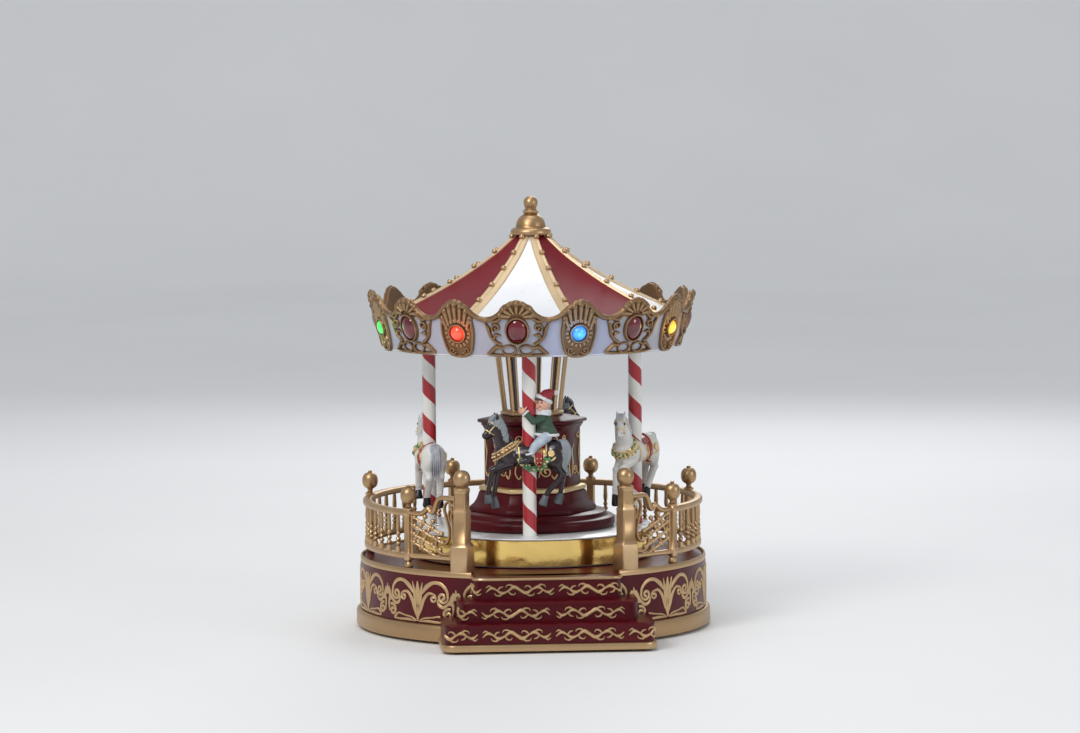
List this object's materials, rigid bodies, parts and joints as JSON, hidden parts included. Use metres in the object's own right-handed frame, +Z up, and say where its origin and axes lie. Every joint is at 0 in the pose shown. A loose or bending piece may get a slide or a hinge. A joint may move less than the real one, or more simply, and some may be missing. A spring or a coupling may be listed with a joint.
{
  "type": "musical carousel toy",
  "caption": "Table-top carousel: horses on striped poles gallop on a motor-driven turntable under a lit canopy, with steps, railing and mirrored tower.",
  "frame": {"origin": "on the table, under the middle of the toy's box", "axes": "+Z up along the turntable's axis, the steps face -Y"},
  "size_m": [0.198, 0.2184, 0.2392],
  "materials": {
    "antique_gold": "satin metallic paint",
    "burgundy_gloss": "gloss",
    "black_plastic": "matt",
    "board_green": "satin",
    "natural_plastic": "satin",
    "motor_steel": "satin",
    "mirror_panel": "polished",
    "floor_white": "gloss",
    "gold_foil": "polished",
    "cornice_white": "satin",
    "roof_plastic": "satin",
    "candy_stripe": "gloss",
    "horse_dark": "gloss",
    "horse_white": "satin",
    "figure_paint": "satin",
    "foot_rubber": "matt",
    "cell_wrap": "satin"
  },
  "bodies": {
    "base": {"plinth_ring": "antique_gold", "base_shell": "burgundy_gloss", "steps_block": "burgundy_gloss", "steps_trim": "antique_gold", "bottom_cover": "black_plastic", "foot_1": "foot_rubber", "foot_2": "foot_rubber", "foot_3": "foot_rubber", "foot_4": "foot_rubber", "cover_screw_1": "motor_steel", "cover_screw_2": "motor_steel", "cover_screw_3": "motor_steel", "cover_screw_4": "motor_steel", "battery_box": "black_plastic", "battery_1": "cell_wrap", "battery_2": "cell_wrap", "battery_3": "cell_wrap", "circuit_board": "board_green", "speaker": "black_plastic", "switch_housing": "black_plastic", "chassis_plate": "natural_plastic", "cam_ring": "natural_plastic", "gear_motor": "motor_steel", "spindle": "motor_steel", "stage_disc": "burgundy_gloss", "tower_cabinet": "burgundy_gloss", "tower_top": "burgundy_gloss", "mirror_column": "mirror_panel", "gate_panel_right": "antique_gold", "gate_post_right": "antique_gold", "gate_panel_left": "antique_gold", "gate_post_left": "antique_gold", "railing_bay_1": "antique_gold", "railing_bay_2": "antique_gold", "railing_bay_3": "antique_gold", "railing_bay_4": "antique_gold", "railing_bay_5": "antique_gold"},
    "turntable": {"turntable": "floor_white", "gold_band": "gold_foil", "turntable_wheel": "natural_plastic", "canopy_ceiling": "floor_white", "cornice": "cornice_white", "roof": "roof_plastic", "roof_finial": "antique_gold", "lamp_ring": "board_green"},
    "horse_front": {"pole_front": "candy_stripe", "horse_front": "horse_dark", "rider": "figure_paint"},
    "horse_right": {"pole_right": "candy_stripe", "horse_right": "horse_white"},
    "horse_back": {"pole_back": "candy_stripe", "horse_back": "horse_dark"},
    "horse_left": {"pole_left": "candy_stripe", "horse_left": "horse_white"},
    "pinion": {"drive_pinion": "natural_plastic"},
    "switch_knob": {"switch_knob": "natural_plastic"},
    "battery_door": {"battery_door": "black_plastic"}
  },
  "joints": [
    {"name": "turntable_spin", "type": "hinge", "parent": "base", "child": "turntable", "pos_m": [0, 0.0102, 0.05], "axis": [0, 0, 1], "continuous": true},
    {"name": "pinion_spin", "type": "hinge", "parent": "base", "child": "pinion", "pos_m": [0, 0.0402, 0.045], "axis": [0, 0, 1], "continuous": true},
    {"name": "gallop_front", "type": "slide", "parent": "turntable", "child": "horse_front", "axis": [0, 0, 1], "range_m": [-0.0045, 0.0019]},
    {"name": "gallop_back", "type": "slide", "parent": "turntable", "child": "horse_back", "axis": [0, 0, 1], "range_m": [-0.0019, 0.0045]},
    {"name": "gallop_right", "type": "slide", "parent": "turntable", "child": "horse_right", "axis": [0, 0, 1], "range_m": [-0.00612, 0.00028]},
    {"name": "gallop_left", "type": "slide", "parent": "turntable", "child": "horse_left", "axis": [0, 0, 1], "range_m": [-0.00028, 0.00612]},
    {"name": "switch_slide", "type": "slide", "parent": "base", "child": "switch_knob", "axis": [1, 0, 0], "range_m": [0, 0.0064]},
    {"name": "battery_door_hinge", "type": "hinge", "parent": "base", "child": "battery_door", "pos_m": [0, 0.0468, 0.003], "axis": [1, 0, 0], "range_deg": [0, 100]}
  ],
  "couplings": [
    {"joint": "pinion_spin", "follows": "turntable_spin", "ratio": -4},
    {"joint": "gallop_back", "follows": "gallop_front", "ratio": -1},
    {"joint": "gallop_left", "follows": "gallop_right", "ratio": -1}
  ]
}
